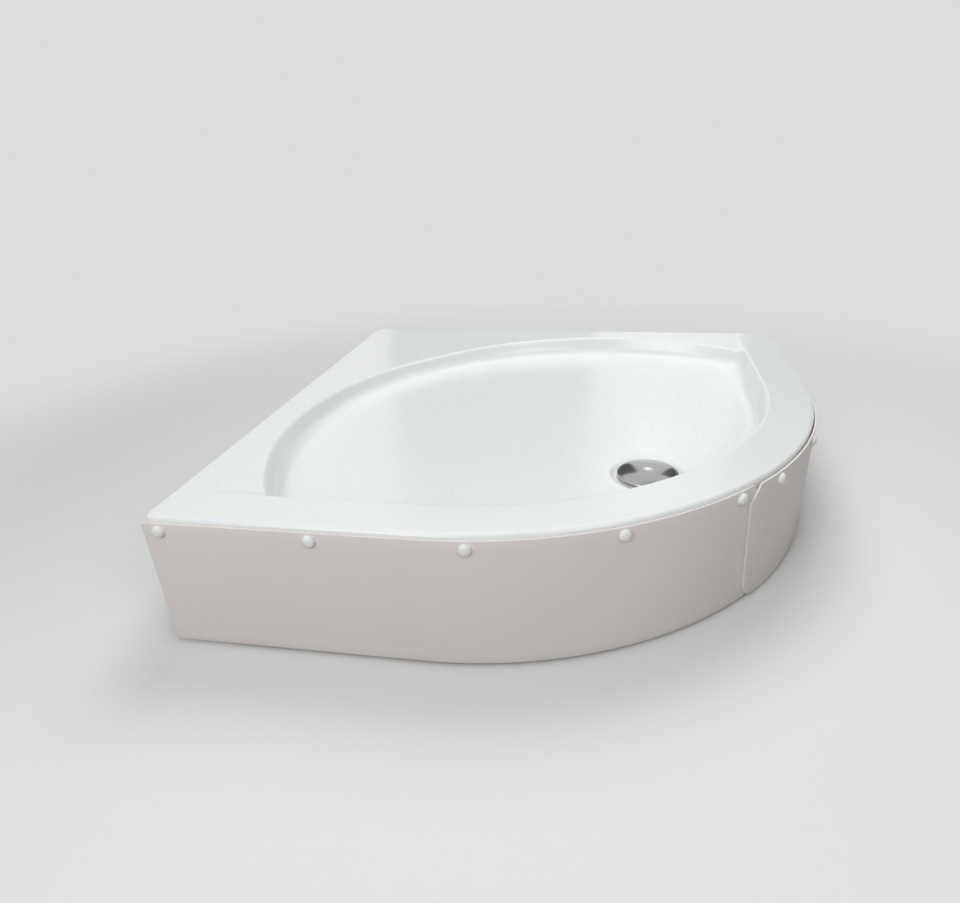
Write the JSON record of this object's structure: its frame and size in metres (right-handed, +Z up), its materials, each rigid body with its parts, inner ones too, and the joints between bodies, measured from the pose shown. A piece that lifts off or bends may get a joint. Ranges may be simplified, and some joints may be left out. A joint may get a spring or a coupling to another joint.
{
  "type": "corner shower tray",
  "caption": "Corner shower tray with a quarter-round front: acrylic bowl with a back shelf and flat front band, domed drain cover, bent screw-on apron and screw feet.",
  "frame": {"origin": "on the floor under the centre of the tray's bounding box", "axes": "+Z up; the walls are at -X and +Y; the curved front faces +X and -Y"},
  "size_m": [0.9096, 0.9096, 0.195],
  "materials": {
    "acrylic": "glossy white acrylic, glass-fibre backed",
    "board": "chipboard under resin",
    "wood": "planed softwood",
    "frame_steel": "grey powder coat",
    "zinc_steel": "zinc plated",
    "black_plastic": "matt black",
    "apron_plastic": "satin white sheet",
    "cap_plastic": "glossy white",
    "stainless": "brushed",
    "rubber": "matt",
    "trap_plastic": "satin white polypropylene",
    "chrome": "polished chrome"
  },
  "bodies": {
    "tray": {"tray_shell": "acrylic", "base_board": "board", "corner_blocks": "wood", "rim_blocks": "wood", "long_rail": "frame_steel", "back_rail": "frame_steel", "fork_rail_left": "frame_steel", "fork_rail_right": "frame_steel", "front_rail": "frame_steel", "tube_plugs": "black_plastic", "weld_nuts": "frame_steel", "lock_nuts": "zinc_steel", "frame_screws": "zinc_steel", "apron_long": "apron_plastic", "apron_short": "apron_plastic", "apron_screws": "zinc_steel", "cap_washers": "cap_plastic", "screw_caps": "cap_plastic", "waste_flange": "stainless", "waste_gasket": "rubber", "trap_body": "trap_plastic", "outlet_nut": "trap_plastic", "outlet_seal": "rubber"},
    "pad_1": {"foot_pad_1": "black_plastic"},
    "rod_1": {"foot_rod_1": "zinc_steel"},
    "pad_2": {"foot_pad_2": "black_plastic"},
    "rod_2": {"foot_rod_2": "zinc_steel"},
    "pad_3": {"foot_pad_3": "black_plastic"},
    "rod_3": {"foot_rod_3": "zinc_steel"},
    "pad_4": {"foot_pad_4": "black_plastic"},
    "rod_4": {"foot_rod_4": "zinc_steel"},
    "pad_5": {"foot_pad_5": "black_plastic"},
    "rod_5": {"foot_rod_5": "zinc_steel"},
    "dip": {"dip_tube": "trap_plastic", "dip_seal": "rubber"},
    "cover": {"drain_cover": "chrome"}
  },
  "joints": [
    {"name": "foot_1_height", "type": "slide", "parent": "tray", "child": "pad_1", "axis": [0, 0, -1], "range_m": [0, 0.018]},
    {"name": "foot_1_screw", "type": "hinge", "parent": "pad_1", "child": "rod_1", "pos_m": [-0.39682, -0.38717, 0.06], "axis": [0, 0, -1], "range_deg": [0, 3703]},
    {"name": "foot_2_height", "type": "slide", "parent": "tray", "child": "pad_2", "axis": [0, 0, -1], "range_m": [0, 0.018]},
    {"name": "foot_2_screw", "type": "hinge", "parent": "pad_2", "child": "rod_2", "pos_m": [0.38717, 0.39682, 0.06], "axis": [0, 0, -1], "range_deg": [0, 3703]},
    {"name": "foot_3_height", "type": "slide", "parent": "tray", "child": "pad_3", "axis": [0, 0, -1], "range_m": [0, 0.018]},
    {"name": "foot_3_screw", "type": "hinge", "parent": "pad_3", "child": "rod_3", "pos_m": [-0.39682, 0.39682, 0.06], "axis": [0, 0, -1], "range_deg": [0, 3703]},
    {"name": "foot_4_height", "type": "slide", "parent": "tray", "child": "pad_4", "axis": [0, 0, -1], "range_m": [0, 0.018]},
    {"name": "foot_4_screw", "type": "hinge", "parent": "pad_4", "child": "rod_4", "pos_m": [-0.00483, 0.00483, 0.06], "axis": [0, 0, -1], "range_deg": [0, 3703]},
    {"name": "foot_5_height", "type": "slide", "parent": "tray", "child": "pad_5", "axis": [0, 0, -1], "range_m": [0, 0.018]},
    {"name": "foot_5_screw", "type": "hinge", "parent": "pad_5", "child": "rod_5", "pos_m": [0.24307, -0.24307, 0.06], "axis": [0, 0, -1], "range_deg": [0, 3703]},
    {"name": "dip_tube_lift", "type": "slide", "parent": "tray", "child": "dip", "axis": [0, 0, 1], "range_m": [0, 0.12]},
    {"name": "cover_lift", "type": "slide", "parent": "dip", "child": "cover", "axis": [0, 0, 1], "range_m": [0, 0.06]}
  ],
  "couplings": [
    {"joint": "foot_1_screw", "follows": "foot_1_height", "rad_per_m": 3590.4},
    {"joint": "foot_2_screw", "follows": "foot_2_height", "rad_per_m": 3590.4},
    {"joint": "foot_3_screw", "follows": "foot_3_height", "rad_per_m": 3590.4},
    {"joint": "foot_4_screw", "follows": "foot_4_height", "rad_per_m": 3590.4},
    {"joint": "foot_5_screw", "follows": "foot_5_height", "rad_per_m": 3590.4}
  ]
}
